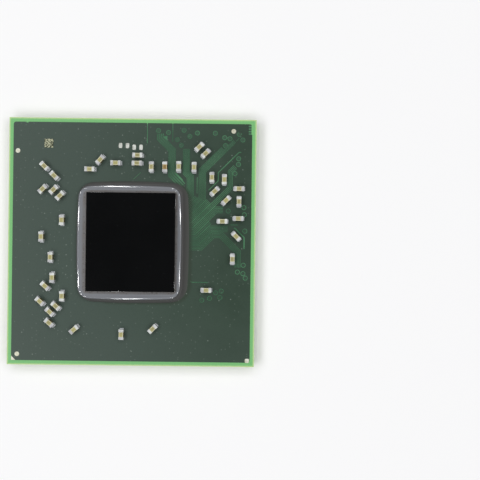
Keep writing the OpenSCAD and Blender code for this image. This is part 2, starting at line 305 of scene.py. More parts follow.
def local_group() -> None:
    """Makes the group that measures along and across a small part from its middle."""
    graph, given, result = new_group(
        "local",
        [("Middle", "Vector", (0.0, 0.0, 0.0)), ("Axis", "Vector", (1.0, 0.0, 0.0))],
        [("Along", "Float"), ("Across", "Float")],
    )
    axis = given.outputs["Axis"]
    off = graph.vector("SUBTRACT", {0: graph.spot(), 1: given.outputs["Middle"]}).outputs[0]
    side = graph.vector("CROSS_PRODUCT", {0: (0, 0, 1), 1: axis}).outputs[0]
    for label, way in (("Along", axis), ("Across", side)):
        reach = graph.vector("DOT_PRODUCT", {0: off, 1: way}).outputs["Value"]
        graph.tree.links.new(graph.math("ABSOLUTE", reach), result.inputs[label])


class Effect(Enum):
    """The shared effects, each the name of its node group."""

    SPECKS = "specks"
    MOTTLE = "mottle"
    FILM_AND_SHADE = "film_and_shade"
    LOCAL = "local"


def make_effects() -> None:
    """Makes the node groups that the materials share."""
    for make in (speck_group, mottle_group, film_and_shade_group, local_group):
        make()


class Material(Graph):
    """A node material with one Principled shader, grown by small steps."""

    # How far a face looks up or down, as its normal's Z, to count as level.
    LEVEL: Span = (0.4, 0.75)

    def __init__(
        self, name: str, roughness: float, metallic: float = 0.0, ior: float = 1.5
    ) -> None:
        """Makes a material and sets its shader's plain values.

        Args:
            name: The material's name.
            roughness: The shader's roughness.
            metallic: The shader's share of metal.
            ior: The shader's index of refraction.
        """
        self.block = bpy.data.materials.new(name)
        self.block.use_nodes = True
        super().__init__(self.block.node_tree)
        self.shader = self.tree.nodes["Principled BSDF"]
        self.shader.inputs["Roughness"].default_value = roughness
        self.shader.inputs["Metallic"].default_value = metallic
        self.shader.inputs["IOR"].default_value = ior

    def effect(
        self, effect: Effect, inputs: dict[str, object] | None = None
    ) -> bpy.types.Node:
        """Adds a shared effect.

        Args:
            effect: The effect.
            inputs: Socket name to a value or colour, or to the socket that feeds it.

        Returns:
            The effect's node.
        """
        node = self.add("ShaderNodeGroup", node_tree=bpy.data.node_groups[effect.value])
        for name, value in (inputs or {}).items():
            if isinstance(value, Socket):
                self.tree.links.new(value, node.inputs[name])
            elif node.inputs[name].type == "RGBA":
                node.inputs[name].default_value = (*value, 1)
            else:
                node.inputs[name].default_value = value
        return node

    def level(self) -> Socket:
        """Makes a mask of the faces that look up or down.

        Returns:
            A mask that is 1 on those faces and 0 on walls.
        """
        normal = self.add("ShaderNodeNewGeometry").outputs["Normal"]
        upward = self.add("ShaderNodeSeparateXYZ", {0: normal}).outputs["Z"]
        return self.ramp(self.math("ABSOLUTE", upward), *self.LEVEL)

    def place(self) -> list[Socket]:
        """Returns X, Y and Z on the piece, in metres."""
        return list(self.add("ShaderNodeSeparateXYZ", {0: self.spot()}).outputs)

    def set(self, socket: str, value: Socket) -> None:
        """Feeds one of the shader's sockets."""
        self.tree.links.new(value, self.shader.inputs[socket])

    def bump(self, height: Socket, depth: float, strength: float) -> None:
        """Bends the surface's normal by a height in metres of depth."""
        inputs = {"Height": height, "Distance": depth, "Strength": strength}
        self.set("Normal", self.add("ShaderNodeBump", inputs).outputs["Normal"])


# Finishes


@dataclass(frozen=True)
class Specks:
    """A scatter of small round specks.

    spacing is in cells per metre and radius in cells. share is the part of the cells that
    hold a speck, and strength is how much a speck shows.
    """

    spacing: float
    radius: float
    share: float
    strength: float

    def mask(self, made: Material) -> Socket:
        """Adds the scatter to a material and returns its mask."""
        inputs = {"Spacing": self.spacing, "Radius": self.radius, "Share": self.share}
        return made.math("MULTIPLY", made.effect(Effect.SPECKS, inputs).outputs[0], self.strength)


@dataclass(frozen=True)
class Mottle:
    """How a colour varies: soft patches and fine grain, with both scales per metre."""

    patch_scale: float = 400.0
    grain_scale: float = 9000.0
    grain: float = 0.1

    def node(self, made: Material, base: object, patch: object) -> bpy.types.Node:
        """Adds the mottle of two colours to a material.

        Args:
            made: The material.
            base: The main colour, or the socket that feeds it.
            patch: The patches' colour, or the socket that feeds it.

        Returns:
            The node, with outputs Colour and Height.
        """
        return made.effect(
            Effect.MOTTLE,
            {
                "Base": base,
                "Patch": patch,
                "Patch Scale": self.patch_scale,
                "Grain Scale": self.grain_scale,
                "Grain": self.grain,
            },
        )


@dataclass(frozen=True)
class MaskFinish:
    """Solder mask over copper: a green film with soft patches and specks of dust.

    The tone drifts from base to a lighter painted sheen along X, and by a share of that at
    the front and at the back along Y: painted light. Round the bead the mask is darker, partly
    a real resin film and partly painted shade.
    """

    base: Colour
    patch: Colour
    # The next colour is a lighter tone painted in as sheen, not the mask's own colour.
    painted_sheen: Colour
    dust: Colour
    # The next colour is a real resin film, darkened further as painted shade.
    wetted_and_shaded: Colour
    back_sheen_share: float = 0.0
    front_sheen_share: float = 0.28
    film_and_shade_share: float = 0.8
    sheen_drift: Span = (10 * MM, -5 * MM)
    front: Span = (-5 * MM, -11 * MM)
    back: Span = (4 * MM, 9 * MM)
    mottle: Mottle = Mottle(grain=0.25)
    dots: Specks = Specks(900.0, 0.07, 0.13, 0.6)
    fine: Specks = Specks(2300.0, 0.16, 0.16, 0.27)
    roughness: float = 0.3
    ripple: float = 0.004 * MM
    ripple_strength: float = 0.5

    def material(self, name: str) -> bpy.types.Material:
        """Makes the material.

        Args:
            name: The material's name.

        Returns:
            The material.
        """
        made = Material(name, self.roughness)
        x, y, _ = made.place()
        # Painted sheen: the mask turns lighter along X and, by a share, towards the front and
        # back.
        across = made.ramp(x, *self.sheen_drift, kind="LINEAR")
        front = made.ramp(y, *self.front, 0.0, self.front_sheen_share)
        back = made.ramp(y, *self.back, 0.0, self.back_sheen_share)
        painted_sheen = made.math("ADD", across, made.math("ADD", front, back), clamp=True)
        base = made.mix(painted_sheen, self.base, self.painted_sheen)
        mottle = self.mottle.node(made, base, made.mix(painted_sheen, self.patch, self.painted_sheen))
        # Darker round the bead: a real resin film with painted shade.
        film = made.math("MULTIPLY", made.effect(Effect.FILM_AND_SHADE).outputs[0], self.film_and_shade_share)
        colour = made.mix(film, mottle.outputs["Colour"], self.wetted_and_shaded)
        specks = made.math("MAXIMUM", self.dots.mask(made), self.fine.mask(made))
        made.set("Base Color", made.mix(specks, colour, self.dust))
        made.bump(mottle.outputs["Height"], self.ripple, self.ripple_strength)
        return made.block


@dataclass(frozen=True)
class LaminateFinish:
    """Glass laminate: bright where light passes the rim, deeper over inner copper.

    rim_from and edge are the distances from the middle at which the bare rim starts and
    the board ends. Beyond comb_from on both axes a comb of copper teeth shows.
    """

    rim: Colour
    inner: Colour
    deep: Colour
    sawn: Colour
    fibre: Colour
    # The next colour is a real resin film darkened as painted shade; the comb's teeth use it too.
    wetted_and_shaded: Colour
    rim_from: float
    edge: float
    rim_blend: float = 0.02 * MM
    edge_band: Span = (-0.17 * MM, 0.06 * MM)
    ragged: float = 0.08 * MM
    weave_scale: float = 5200.0
    layer_scale: float = 1500.0
    layer: Span = (0.55, 0.95)
    film_and_shade_share: float = 0.75
    comb_from: float = 10.7 * MM
    tooth: float = 0.13 * MM
    tooth_share: float = 0.45
    rim_mottle: Mottle = Mottle(900.0, grain=0.3)
    deep_mottle: Mottle = Mottle(330.0, grain=0.3)
    roughness: float = 0.4
    ripple: float = 0.01 * MM
    ripple_strength: float = 0.6

    def material(self, name: str) -> bpy.types.Material:
        """Makes the material.

        Args:
            name: The material's name.

        Returns:
            The material.
        """
        made = Material(name, self.roughness)
        x, y, _ = made.place()
        out = made.math("MAXIMUM", made.math("ABSOLUTE", x), made.math("ABSOLUTE", y))
        weave = made.add(
            "ShaderNodeTexNoise", {"Vector": made.spot(), "Scale": self.weave_scale}
        ).outputs["Fac"]
        flat = made.mix(
            made.ramp(out, self.rim_from - self.rim_blend, self.rim_from),
            self._inside(made, x, y),
            self._rim(made, out, weave),
        )
        layers = made.add(
            "ShaderNodeTexWave",
            {"Vector": made.spot(), "Scale": self.layer_scale},
            bands_direction="Z",
        ).outputs["Fac"]
        wall = made.mix(made.ramp(layers, *self.layer), self.sawn, self.fibre)
        made.set("Base Color", made.mix(made.level(), wall, flat))
        made.bump(weave, self.ripple, self.ripple_strength)
        return made.block

    def _rim(self, made: Material, out: Socket, weave: Socket) -> Socket:
        """Colours the bare rim, with a ragged pale line along the sawn edge.

        Args:
            made: The material.
            out: The distance from the middle towards the nearest edge.
            weave: The noise of the glass weave.

        Returns:
            The colour.
        """
        mottle = self.rim_mottle.node(made, self.rim, self.rim)
        ragged = made.math("ADD", out, made.math("MULTIPLY", weave, self.ragged))
        low, high = self.edge_band
        edge = made.ramp(ragged, self.edge + low, self.edge + high)
        return made.mix(edge, mottle.outputs["Colour"], self.sawn)

    def _inside(self, made: Material, x: Socket, y: Socket) -> Socket:
        """Colours what shows through the copper's openings.

        Args:
            made: The material.
            x: X on the piece.
            y: Y on the piece.

        Returns:
            The colour.
        """
        depth = self.deep_mottle.node(made, self.inner, self.deep)
        wave = made.math("PINGPONG", y, self.tooth)
        teeth = made.math("LESS_THAN", wave, self.tooth_share * self.tooth)
        corner = made.math("GREATER_THAN", made.math("MINIMUM", x, y), self.comb_from)
        comb = made.math("MULTIPLY", teeth, corner)
        # Darker round the bead: a real resin film with painted shade; the comb's teeth take that
        # dark colour too.
        film = made.math("MULTIPLY", made.effect(Effect.FILM_AND_SHADE).outputs[0], self.film_and_shade_share)
        return made.mix(film, made.mix(comb, depth.outputs["Colour"], self.wetted_and_shaded), self.wetted_and_shaded)


@dataclass(frozen=True)
class SiliconFinish:
    """Polished silicon: nearly black, with a mirror's gloss and faint smears.

    gloss is the span of roughness that the grain varies over. roughness is the value that
    the socket holds under that link.
    """

    colour: Colour
    smear: Colour
    dust: Colour
    gloss: Span = (0.04, 0.08)
    roughness: float = 0.06
    ior: float = 2.1
    mottle: Mottle = Mottle(260.0)
    specks: Specks = Specks(1500.0, 0.05, 0.07, 0.25)

    def material(self, name: str) -> bpy.types.Material:
        """Makes the material.

        Args:
            name: The material's name.

        Returns:
            The material.
        """
        made = Material(name, self.roughness, ior=self.ior)
        mottle = self.mottle.node(made, self.colour, self.smear)
        dusty = made.mix(self.specks.mask(made), mottle.outputs["Colour"], self.dust)
        made.set("Base Color", dusty)
        made.set("Roughness", made.ramp(mottle.outputs["Height"], *NOISE, *self.gloss))
        return made.block


@dataclass(frozen=True)
class ResinFinish:
    """Cured resin, from the die's wall over the bead's shoulder to its toe.

    The spans are shares of the way from the die to the toe, over which one colour or
    gloss turns into the next. The crest and shoulder colours are the resin's grey lightened as
    a painted reflection and highlight line, and the slope's dark colour is partly painted shade.
    On the right the slope turns into a darker painted shade, over a span of X. roughness is the
    value that the socket holds under the link from those glosses.
    """

    wall: Colour
    crest: Colour
    shoulder: Colour
    slope: Colour
    # The next colour is painted shade on the right slope.
    painted_shade: Colour
    toe: Colour
    grit: Colour
    to_crest: Span = (0.03, 0.1)
    to_shoulder: Span = (0.16, 0.34)
    to_slope: Span = (0.5, 0.6)
    to_toe: Span = (0.7, 0.98)
    to_painted_shade: Span = (4.9 * MM, 5.3 * MM)
    grit_ends: Span = (0.12, 0.3)
    polish: Span = (0.08, 0.3)
    polish_roughness: Span = (0.3, 0.085)
    dulling: Span = (0.54, 0.72)
    dull_roughness: float = 0.75
    roughness: float = 0.2
    ior: float = 2.05
    mottle: Mottle = Mottle(1300.0, grain=0.5)
    specks: Specks = Specks(4200.0, 0.4, 0.4, 0.7)
    ripple: float = 0.0005 * MM
    ripple_strength: float = 0.3

    def material(self, name: str) -> bpy.types.Material:
        """Makes the material.

        Args:
            name: The material's name.

        Returns:
            The material.
        """
        made = Material(name, self.roughness, ior=self.ior)
        span = made.add("ShaderNodeAttribute", attribute_name="span").outputs["Fac"]
        mottle = self.mottle.node(made, self.crest, self.wall)
        x, _, _ = made.place()
        # Painted shade: the slope turns darker towards the right.
        slope = made.mix(made.ramp(x, *self.to_painted_shade), self.slope, self.painted_shade)
        # Painted light: the crest and shoulder are lightened as a painted reflection and highlight
        # line, and the slope is darkened partly as painted shade.
        colour = made.mix(made.ramp(span, *self.to_crest), self.wall, mottle.outputs["Colour"])
        colour = made.mix(made.ramp(span, *self.to_shoulder), colour, self.shoulder)
        colour = made.mix(made.ramp(span, *self.to_slope), colour, slope)
        colour = made.mix(made.ramp(span, *self.to_toe), colour, self.toe)
        inside = made.math("SUBTRACT", 1.0, made.ramp(span, *self.grit_ends))
        specks = made.math("MULTIPLY", self.specks.mask(made), inside)
        made.set("Base Color", made.mix(specks, colour, self.grit))
        sharp = made.ramp(span, *self.polish, *self.polish_roughness)
        dull = made.ramp(span, *self.dulling, 0.0, self.dull_roughness)
        made.set("Roughness", made.math("ADD", sharp, dull))
        made.bump(mottle.outputs["Height"], self.ripple, self.ripple_strength)
        return made.block


@dataclass(frozen=True)
class MetalFinish:
    """Solder, tin plate or gold, with fine grain and a patchy tarnish."""

    base: Colour
    tarnish: Colour
    roughness: float
    metallic: float
    grain: float = 0.25
    patch_scale: float = 1900.0
    grain_scale: float = 16000.0
    ripple: float = 0.006 * MM
    ripple_strength: float = 0.6

    def material(self, name: str) -> bpy.types.Material:
        """Makes the material.

        Args:
            name: The material's name.

        Returns:
            The material.
        """
        made = Material(name, self.roughness, self.metallic)
        mottle = Mottle(self.patch_scale, self.grain_scale, self.grain)
        node = mottle.node(made, self.base, self.tarnish)
        made.set("Base Color", node.outputs["Colour"])
        made.bump(node.outputs["Height"], self.ripple, self.ripple_strength)
        return made.block


@dataclass(frozen=True)
class CeramicFinish:
    """Fired capacitor ceramic: pale along its top's sides as a painted highlight, also pale
    towards its ends, and darker on its walls as painted shade.

    sides and ends are the distances from the middle over which the top turns pale.
    """

    base: Colour
    patch: Colour
    # The next two colours are a painted highlight along the top's sides and painted shade on the
    # walls.
    pale: Colour
    wall: Colour
    sides: Span = (0.12 * MM, 0.19 * MM)
    ends: Span = (0.18 * MM, 0.24 * MM)
    pale_share: float = 0.85
    mottle: Mottle = Mottle(1100.0, 9000.0, 0.5)
    roughness: float = 0.5
    ripple: float = 0.006 * MM
    ripple_strength: float = 0.5

    def material(self, name: str, middle: Point, axis: Point) -> bpy.types.Material:
        """Makes the material of one body.

        Args:
            name: The material's name.
            middle: The body's middle.
            axis: The level direction along the body.

        Returns:
            The material.
        """
        made = Material(name, self.roughness)
        local = made.effect(Effect.LOCAL, {"Middle": middle, "Axis": axis})
        mottle = self.mottle.node(made, self.base, self.patch)
        # Painted highlight: the top turns pale towards its sides; it also turns pale towards its
        # ends.
        beside = made.ramp(local.outputs["Across"], *self.sides)
        beyond = made.ramp(local.outputs["Along"], *self.ends)
        lit = made.math("MULTIPLY", made.math("MAXIMUM", beside, beyond), self.pale_share)
        top = made.mix(lit, mottle.outputs["Colour"], self.pale)
        # Painted shade: upright faces take the darker wall colour.
        made.set("Base Color", made.mix(made.level(), self.wall, top))
        made.bump(mottle.outputs["Height"], self.ripple, self.ripple_strength)
        return made.block


@dataclass(frozen=True)
class EtchedFinish:
    """A metal pad etched with a generic pattern of tiny squares."""

    bright: Colour
    dark: Colour
    cell: float
    dark_share: float = 0.52
    roughness: float = 0.45
    metallic: float = 0.3
    ripple: float = 0.006 * MM
    ripple_strength: float = 0.5

    def material(self, name: str) -> bpy.types.Material:
        """Makes the material.

        Args:
            name: The material's name.

        Returns:
            The material.
        """
        made = Material(name, self.roughness, self.metallic)
        scaled = made.vector("SCALE", {0: made.spot(), "Scale": 1 / self.cell}).outputs[0]
        square = made.vector("FLOOR", {0: scaled}).outputs[0]
        chance = made.add(
            "ShaderNodeTexWhiteNoise", {"Vector": square}, noise_dimensions="2D"
        ).outputs["Value"]
        filled = made.math("GREATER_THAN", chance, self.dark_share)
        made.set("Base Color", made.mix(filled, self.dark, self.bright))
        made.bump(filled, self.ripple, self.ripple_strength)
        return made.block


# The colour round the bead: a real resin film, darkened further as painted shade.
WETTED_AND_SHADED = srgb(53, 64, 53)
# Each mask's sheen colour is painted light, a lighter tone laid along X and Y.
TOP_MASK = MaskFinish(
    base=srgb(52, 69, 57),
    patch=srgb(57, 74, 62),
    painted_sheen=srgb(67, 81, 73),
    dust=srgb(140, 152, 142),
    wetted_and_shaded=WETTED_AND_SHADED,
)
TRACE_MASK = MaskFinish(
    base=srgb(55, 74, 60),
    patch=srgb(58, 79, 65),
    painted_sheen=srgb(65, 92, 74),
    dust=srgb(120, 150, 128),
    wetted_and_shaded=WETTED_AND_SHADED,
    back_sheen_share=0.8,
)
BOTTOM_MASK = MaskFinish(
    base=srgb(74, 77, 58),
    patch=srgb(64, 80, 60),
    painted_sheen=srgb(82, 80, 62),
    dust=srgb(140, 140, 118),
    wetted_and_shaded=srgb(74, 78, 60),
)
LAMINATE = LaminateFinish(
    rim=srgb(120, 188, 118),
    inner=srgb(86, 142, 102),
    deep=srgb(54, 100, 71),
    sawn=srgb(202, 222, 158),
    fibre=srgb(150, 170, 96),
    wetted_and_shaded=WETTED_AND_SHADED,
    rim_from=12.0 * MM,
    edge=12.5 * MM,
)
SILICON = SiliconFinish(
    colour=srgb(8, 9, 9),
    smear=srgb(11, 12, 12),
    dust=srgb(96, 98, 100),
)
# crest and shoulder are lightened as a painted reflection and highlight line; slope is partly
# painted shade, and the darkest colour is painted shade on the right slope.
RESIN = ResinFinish(
    wall=srgb(104, 100, 97),
    crest=srgb(111, 111, 112),
    shoulder=srgb(118, 121, 126),
    slope=srgb(60, 60, 58),
    painted_shade=srgb(28, 27, 24),
    toe=srgb(46, 50, 43),
    grit=srgb(66, 62, 60),
)
SOLDER = MetalFinish(
    base=srgb(222, 226, 230), tarnish=srgb(200, 203, 206), roughness=0.45, metallic=0.2
)
BALL = MetalFinish(
    base=srgb(236, 235, 228), tarnish=srgb(204, 203, 194), roughness=0.3, metallic=0.6
)
TERMINAL = MetalFinish(
    base=srgb(226, 230, 226),
    tarnish=srgb(180, 180, 183),
    roughness=0.45,
    metallic=0.2,
    grain=0.45,
)
GOLD = MetalFinish(
    base=srgb(240, 242, 226), tarnish=srgb(206, 204, 180), roughness=0.4, metallic=0.3
)
PAD = MetalFinish(
    base=srgb(228, 231, 224), tarnish=srgb(168, 170, 160), roughness=0.4, metallic=0.3
)
# pale is a painted highlight along the top's sides, and wall is painted shade on the upright
# faces.
CERAMIC = CeramicFinish(
    base=srgb(172, 166, 108),
    patch=srgb(148, 142, 98),
    pale=srgb(214, 212, 182),
    wall=srgb(112, 100, 66),
)
BROWN_CERAMIC = CeramicFinish(
    base=srgb(140, 114, 62),
    patch=srgb(116, 90, 46),
    pale=srgb(206, 192, 150),
    wall=srgb(92, 70, 40),
)
ETCHED = EtchedFinish(bright=srgb(180, 182, 152), dark=srgb(70, 74, 54), cell=0.088 * MM)


# Sub-assemblies

# CAD faces come apart at their edges: points this close are one point again. An edge
# that turns by more than the angle is rounded, in this many steps.
WELD_REACH = 0.0005 * MM
SHARP_ANGLE = math.radians(40)
BEVEL_STEPS = 2


def dress(piece: bpy.types.Object, material: bpy.types.Material) -> None:
    """Gives a piece one material in place of those it has, and reports it.

    Args:
        piece: The piece.
        material: Its material.
    """
    piece.data.materials.clear()
    piece.data.materials.append(material)
    LOG.info("%s is dressed in %s", piece.name, material.name)


def soften(piece: bpy.types.Object, width: float) -> None:
    """Rounds the sharp edges of a CAD piece.

    Args:
        piece: The piece.
        width: How far the rounding reaches from each edge.
    """
    weld = piece.modifiers.new("weld", "WELD")
    weld.merge_threshold = WELD_REACH
    bevel = piece.modifiers.new("bevel", "BEVEL")
    bevel.width = width
    bevel.segments = BEVEL_STEPS
    bevel.limit_method = "ANGLE"
    bevel.angle_limit = SHARP_ANGLE


def new_piece(
    name: str, verts: Sequence[Point], faces: Sequence[Sequence[int]]
) -> bpy.types.Object:
    """Makes a smooth mesh piece that rides on the part's body.

    Args:
        name: The piece's name.
        verts: Corner points in metres.
        faces: Faces as point numbers, anticlockwise from outside.

    Returns:
        The new object.
    """
    mesh = bpy.data.meshes.new(name)
    mesh.from_pydata(verts, [], faces)
    mesh.update()
    mesh.shade_smooth()
    piece = bpy.data.objects.new(name, mesh)
    bpy.context.scene.collection.objects.link(piece)
    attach(piece, BODY)
    return piece


@dataclass
class Substrate:
    """The laminate, both copper layers and the traces, all CAD pieces."""

    nodes: dict[str, bpy.types.Object]
    softness: float = 0.02 * MM

    def build(self) -> None:
        """Gives the substrate's pieces their materials."""
        dress(self.nodes["laminate"], LAMINATE.material("laminate"))
        dress(self.nodes["top_copper"], TOP_MASK.material("top_mask"))
        dress(self.nodes["signal_traces"], TRACE_MASK.material("trace_mask"))
        dress(self.nodes["bottom_copper"], BOTTOM_MASK.material("bottom_mask"))
        soften(self.nodes["laminate"], self.softness)


@dataclass
class Die:
    """The bare die, a CAD piece with edges that are nearly sharp."""

    piece: bpy.types.Object
    softness: float = 0.003 * MM

    def build(self) -> None:
        """Gives the die its material and its edges."""
        dress(self.piece, SILICON.material("silicon"))
        soften(self.piece, self.softness)


@dataclass(frozen=True)
class Ring:
    """A barrel-sided rectangle round the die, one of the bead's level lines.

    reach is how far each side's middle stands off the die, from the right side
    anticlockwise. barrel is how far, in degrees, a side has turned at its ends.
    """

    reach: tuple[float, float, float, float]
    radius: float
    height: float
    barrel: float = 0.0


@dataclass
class ResinBead:
    """The resin round the die: a flat crest, a rolled shoulder and a thin toe."""

    die: tuple[Vector, Vector]
    floor: float
    rings: tuple[Ring, ...] = (
        Ring((0, 0, 0, 0), 0.02 * MM, 0.6 * MM),
        Ring((0.17 * MM, 0.16 * MM, 0.28 * MM, 0.18 * MM), 0.25 * MM, 0.595 * MM, 0.5),
        Ring((0.34 * MM, 0.33 * MM, 0.56 * MM, 0.4 * MM), 0.6 * MM, 0.575 * MM, 1.5),
        Ring((0.53 * MM, 0.62 * MM, 0.88 * MM, 0.74 * MM), 1.05 * MM, 0.53 * MM, 2.5),
        Ring((0.75 * MM, 0.88 * MM, 1.0 * MM, 0.94 * MM), 1.25 * MM, 0.38 * MM, 3),
        Ring((1.03 * MM, 1.04 * MM, 1.06 * MM, 1.08 * MM), 1.5 * MM, 0.18 * MM, 3),
        Ring((1.32 * MM, 1.16 * MM, 1.1 * MM, 1.18 * MM), 1.7 * MM, 0.0, 3),
    )
    rows: int = 42
    corner_steps: int = 24
    side_steps: int = 40

    # The curve's last point is taken this little before its end, counted in knots.
    BEFORE_END = 1e-9

    def _corners(self, ring: Ring) -> list[Vector]:
        """Finds the middles of one ring's round corners.

        Args:
            ring: The ring.

        Returns:
            The four middles, from the right side's foot anticlockwise.
        """
        low, high = self.die
        right, back, left, front = ring.reach
        radius = ring.radius
        swell = math.tan(math.radians(ring.barrel) / 2) / 2
        wide, tall = high.x - low.x - 2 * radius, high.y - low.y - 2 * radius
        right, left = right - tall * swell, left - tall * swell
        back, front = back - wide * swell, front - wide * swell
        low_x, low_y = low.x - left + radius, low.y - front + radius
        high_x, high_y = high.x + right - radius, high.y + back - radius
        ends = ((high_x, low_y), (high_x, high_y), (low_x, high_y), (low_x, low_y))
        return [Vector(end) for end in ends]

    def _line(self, ring: Ring) -> list[Vector]:
        """Walks one ring.

        Args:
            ring: The ring.

        Returns:
            Its points, from the right side's foot anticlockwise.
        """
        radius = ring.radius
        turned = math.radians(ring.barrel)
        middles = self._corners(ring)
        line = []
        for side, here in enumerate(middles):
            turn = side * math.pi / 2
            out = Vector((math.cos(turn), math.sin(turn)))
            along = Vector((-out.y, out.x))
            there = middles[(side + 1) % len(middles)]
            half = (there - here).length / 2
            centre = (here + there) / 2
            for step in range(self.side_steps):
                lean = turned * (2 * step / self.side_steps - 1)
                if turned:
                    bend = half / math.sin(turned)
                    run = along * math.sin(lean) + out * (math.cos(lean) - math.cos(turned))
                    spot = centre + run * bend
                else:
                    spot = here.lerp(there, step / self.side_steps)
                line.append(spot + radius * (out * math.cos(lean) + along * math.sin(lean)))
            for step in range(self.corner_steps):
                lean = turned + step / self.corner_steps * (math.pi / 2 - 2 * turned)
                line.append(there + radius * (out * math.cos(lean) + along * math.sin(lean)))
        return line

    def _blend(self, knots: Sequence[Vector], share: float) -> Vector:
        """Runs a smooth curve through points.

        Args:
            knots: The points.
            share: How far along the curve to go, from 0 to 1.

        Returns:
            The curve's point there.
        """
        last = len(knots) - 1
        at = min(share * last, last - self.BEFORE_END)
        knot = int(at)
        t = at - knot
        before, after = knots[max(knot - 1, 0)], knots[min(knot + 2, last)]
        here, there = knots[knot], knots[knot + 1]
        leave, arrive = (there - before) / 2, (after - here) / 2
        return (
            here * (2 * t**3 - 3 * t**2 + 1)
            + leave * (t**3 - 2 * t**2 + t)
            + there * (3 * t**2 - 2 * t**3)
            + arrive * (t**3 - t**2)
        )

    def build(self) -> None:
        """Makes the bead's mesh and puts it in the place of its CAD solid."""
        lines = [self._line(ring) for ring in self.rings]
        levels = [self.floor + ring.height for ring in self.rings]
        verts: list[Point] = []
        spans: list[float] = []
        count = len(lines[0])
        for station in range(count):
            knots = [line[station].to_3d() + Vector((0, 0, z)) for line, z in zip(lines, levels)]
            for row in range(self.rows + 1):
                share = row / self.rows
                spot = self._blend(knots, share)
                verts.append((spot.x, spot.y, max(spot.z, self.floor)))
                spans.append(share)
        width = self.rows + 1
        faces = [
            (
                station * width + row,
                station * width + row + 1,
                (station + 1) % count * width + row + 1,
                (station + 1) % count * width + row,
            )
            for station in range(count)
            for row in range(self.rows)
        ]
        piece = new_piece("resin_bead", verts, faces)
        layer = piece.data.attributes.new("span", "FLOAT", "POINT")
        layer.data.foreach_set("value", spans)
        dress(piece, RESIN.material("resin"))
        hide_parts("underfill")


@dataclass
class Capacitors:
    """The capacitors: ceramic bodies, plated terminals and their solder."""

    nodes: dict[str, bpy.types.Object]
    browner: tuple[str, ...] = ("capacitor_25",)
    softness: float = 0.02 * MM

    @staticmethod
    def axis(piece: bpy.types.Object, middle: Vector) -> Point:
        """Finds the level direction in which a body is longest.

        Args:
            piece: The body.
            middle: Its middle.

        Returns:
            The direction, of length 1.
        """
        offs = [v.co - middle for v in piece.data.vertices]
        spread_x = sum(off.x**2 for off in offs)
        spread_y = sum(off.y**2 for off in offs)
        turn = math.atan2(2 * sum(off.x * off.y for off in offs), spread_x - spread_y) / 2
        return math.cos(turn), math.sin(turn), 0.0

    def build(self) -> None:
        """Gives the capacitors' pieces their materials and soft edges."""
        for name, piece in self.nodes.items():
            if name.startswith("capacitor_") and name[-2:].isdigit():
                low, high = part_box(name)
                middle = (low + high) / 2
                finish = BROWN_CERAMIC if name in self.browner else CERAMIC
                dress(piece, finish.material(name, tuple(middle), self.axis(piece, middle)))
        dress(self.nodes["capacitor_terminals"], TERMINAL.material("terminal"))
        dress(self.nodes["capacitor_solder"], SOLDER.material("fillet_solder"))
        soften(self.nodes["capacitor_terminals"], self.softness)


@dataclass
class PadsAndMarks:
    """The bare pads and the marks, one of them on the lower face, and the hidden bumps."""

    nodes: dict[str, bpy.types.Object]

    def build(self) -> None:
        """Gives the pads, marks and bumps their materials."""
        gold = GOLD.material("gold")
        for name in ("fiducial_pads", "corner_marks"):
            dress(self.nodes[name], gold)
        dress(self.nodes["spare_pads"], PAD.material("bare_pad"))
        dress(self.nodes["die_bumps"], SOLDER.material("solder"))
        dress(self.nodes["code_mark"], ETCHED.material("etched_mark"))


